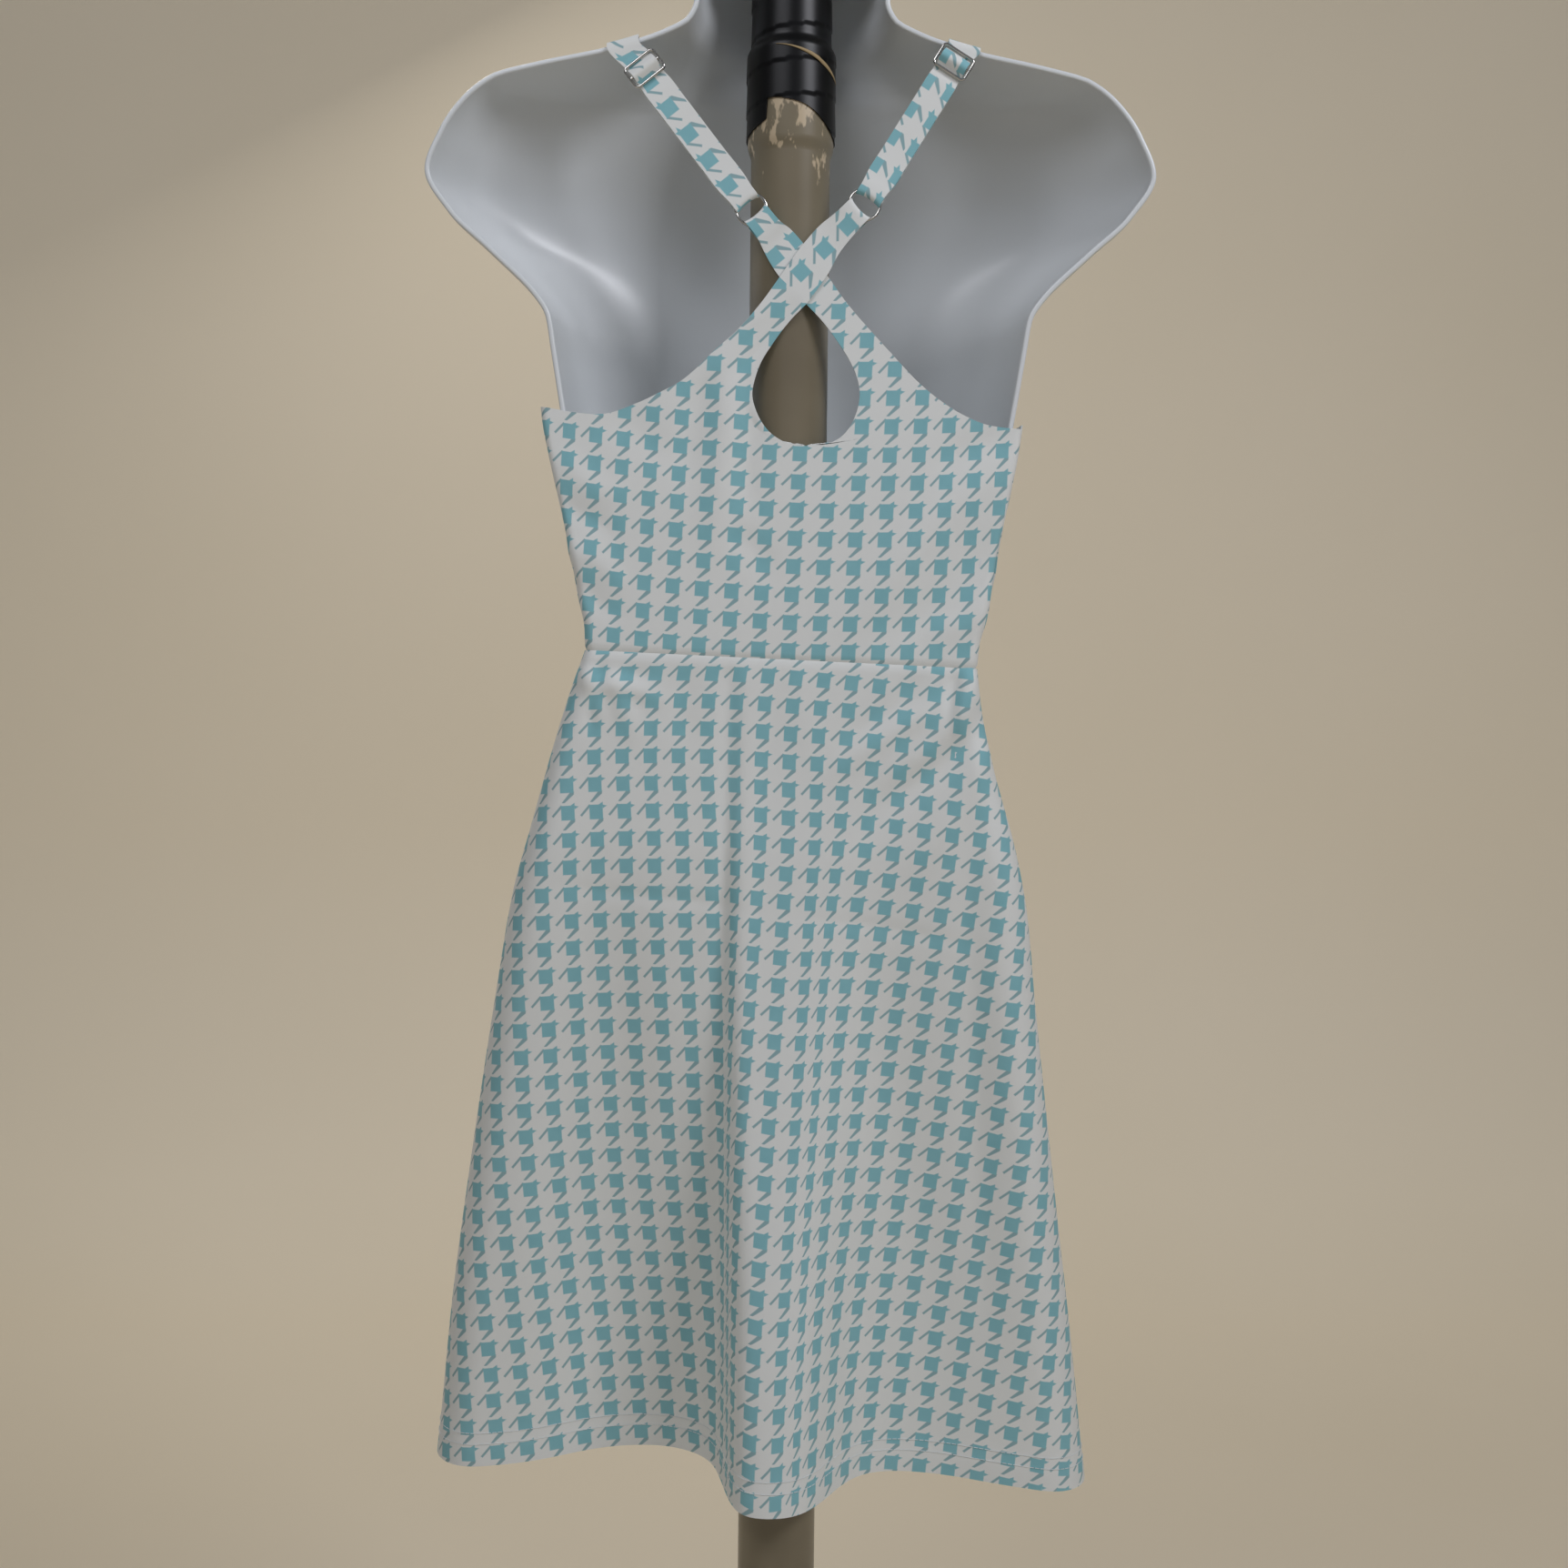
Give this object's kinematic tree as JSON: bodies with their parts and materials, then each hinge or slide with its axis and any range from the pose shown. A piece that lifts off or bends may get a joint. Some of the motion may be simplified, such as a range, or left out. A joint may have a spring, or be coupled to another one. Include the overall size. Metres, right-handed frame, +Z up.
{
  "type": "tennis dress on a dress form with a pole stand",
  "caption": "Sleeveless A-line tennis dress in a checked knit with crossed back straps, shown on a limbless hollow-backed form and its pole stand.",
  "frame": {"origin": "on the floor at the middle of the base plate, under the pole", "axes": "+Z up the pole; the wearer faces +Y, so the open back faces -Y; +X to the right as seen from behind"},
  "size_m": [0.4077, 0.355, 1.4506],
  "materials": {
    "knit": "printed jersey knit, white with an aqua check",
    "metal": "nickel-plated wire",
    "plastic": "blow-moulded white plastic",
    "pipe": "brown-grey painted pipe, chipped",
    "tape": "glossy black wound tape",
    "painted_steel": "dark painted steel"
  },
  "bodies": {
    "root": {"form_shell": "plastic", "neck_cap": "plastic", "base_plate": "painted_steel", "pole": "pipe", "pole_tape": "tape", "bodice_back": "knit", "bodice_front": "knit", "skirt_back": "knit", "skirt_front": "knit", "strap_left": "knit", "strap_right": "knit", "ring_left": "metal", "ring_right": "metal", "slider_left": "metal", "slider_right": "metal"}
  },
  "joints": []
}
